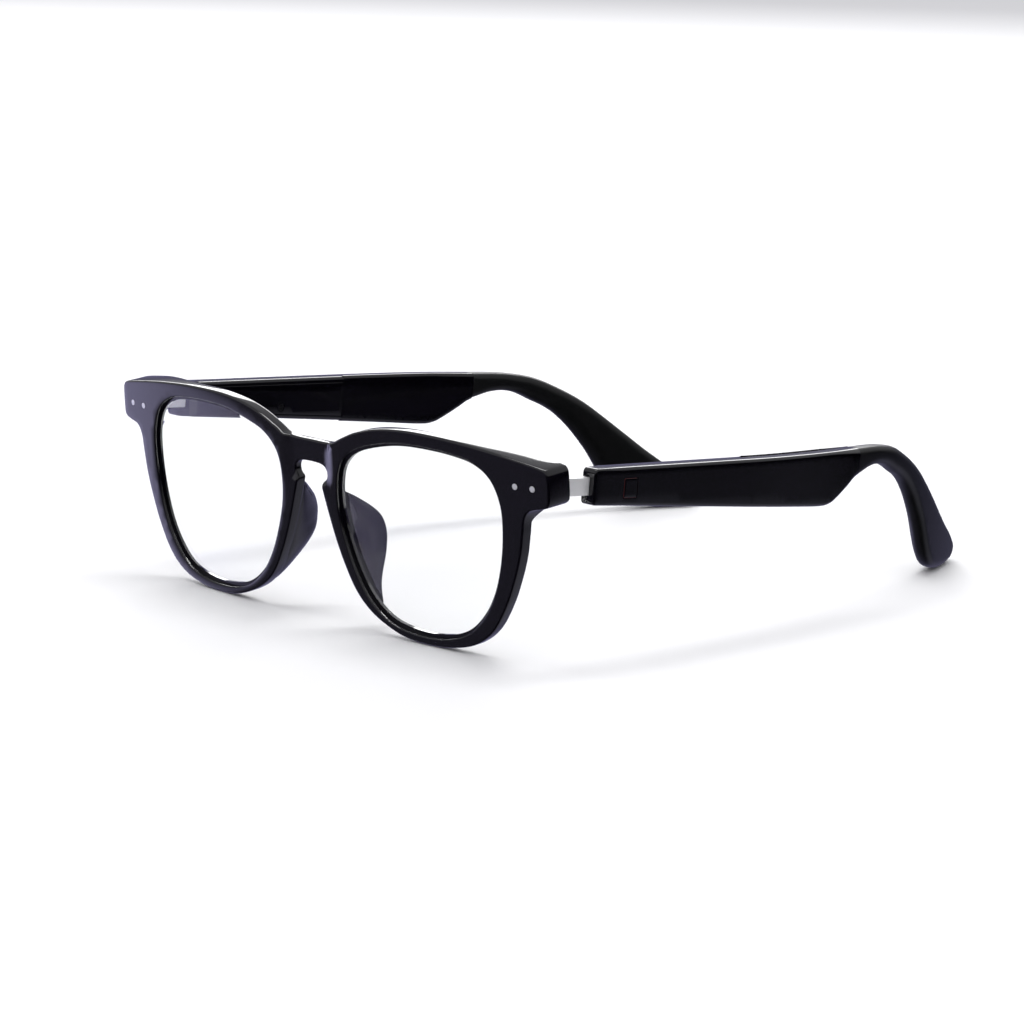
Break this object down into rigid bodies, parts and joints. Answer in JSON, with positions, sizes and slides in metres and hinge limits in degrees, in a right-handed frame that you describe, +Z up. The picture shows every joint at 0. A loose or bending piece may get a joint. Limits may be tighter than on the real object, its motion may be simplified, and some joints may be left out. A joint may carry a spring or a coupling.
{
  "type": "smart glasses",
  "caption": "Smart audio glasses with a keyhole-bridge front, clear lenses and folding temples that hold speakers, batteries and press keys.",
  "frame": {"origin": "middle of the overall box, at the level of the surface that the rims and the temple tips rest on", "axes": "+X to the wearer's left, +Y from the front to the temple tips, +Z up"},
  "size_m": [0.1426, 0.1769, 0.0487],
  "materials": {
    "gloss_frame": "polished injection-moulded black",
    "gloss_temple": "polished black",
    "lens": "clear with a violet-blue antireflection coating",
    "hinge_metal": "satin steel",
    "rivet_metal": "polished",
    "screw_steel": "turned",
    "soft_tip": "matte soft-touch",
    "core_steel": "drawn",
    "board_green": "solder mask",
    "chip_black": "moulded",
    "switch_metal": "plated dome",
    "key_plastic": "polished with a dark red edge",
    "battery_foil": "foil pouch",
    "ribbon_film": "polyimide film",
    "speaker_black": "moulded can",
    "mesh_steel": "blackened",
    "mic_can": "plated can",
    "contact_gold": "gold plated",
    "magnet_nickel": "nickel plated",
    "antenna_copper": "etched film"
  },
  "bodies": {
    "front": {"front_frame": "gloss_frame", "lens_left": "lens", "lens_right": "lens", "nose_pad_left": "gloss_frame", "nose_pad_right": "gloss_frame", "hinge_bar_left": "hinge_metal", "hinge_bar_right": "hinge_metal", "rivets_left": "rivet_metal", "rivets_right": "rivet_metal"},
    "temple_left": {"hinge_screw_left": "screw_steel", "temple_shell_left": "gloss_temple", "speaker_cover_left": "gloss_temple", "battery_cover_left": "gloss_temple", "temple_tip_left": "soft_tip", "tip_core_left": "core_steel", "main_board_left": "board_green", "audio_chip_left": "chip_black", "key_switch_left": "switch_metal", "battery_left": "battery_foil", "battery_ribbon_left": "ribbon_film", "speaker_left": "speaker_black", "speaker_mesh_left": "mesh_steel", "microphone_left": "mic_can", "charging_contacts_left": "contact_gold", "dock_magnet_left": "magnet_nickel", "antenna_left": "antenna_copper", "cover_screw_left": "screw_steel"},
    "temple_right": {"hinge_screw_right": "screw_steel", "temple_shell_right": "gloss_temple", "speaker_cover_right": "gloss_temple", "battery_cover_right": "gloss_temple", "temple_tip_right": "soft_tip", "tip_core_right": "core_steel", "main_board_right": "board_green", "audio_chip_right": "chip_black", "key_switch_right": "switch_metal", "battery_right": "battery_foil", "battery_ribbon_right": "ribbon_film", "speaker_right": "speaker_black", "speaker_mesh_right": "mesh_steel", "microphone_right": "mic_can", "charging_contacts_right": "contact_gold", "dock_magnet_right": "magnet_nickel", "antenna_right": "antenna_copper", "cover_screw_right": "screw_steel"},
    "key_left": {"press_key_left": "key_plastic"},
    "key_right": {"press_key_right": "key_plastic"}
  },
  "joints": [
    {"name": "left_temple_fold", "type": "hinge", "parent": "front", "child": "temple_left", "pos_m": [0.0685, -0.06547, 0.04352], "axis": [0, 0.0654, 0.9979], "range_deg": [0, 87]},
    {"name": "right_temple_fold", "type": "hinge", "parent": "front", "child": "temple_right", "pos_m": [-0.0685, -0.06547, 0.04352], "axis": [0, -0.0654, -0.9979], "range_deg": [0, 78]},
    {"name": "left_key_press", "type": "slide", "parent": "temple_left", "child": "key_left", "axis": [-1, 0, 0], "range_m": [0, 0.0003], "stiffness_N_per_m": 4000, "springref_m": -0.0001},
    {"name": "right_key_press", "type": "slide", "parent": "temple_right", "child": "key_right", "axis": [1, 0, 0], "range_m": [0, 0.0003], "stiffness_N_per_m": 4000, "springref_m": -0.0001}
  ]
}
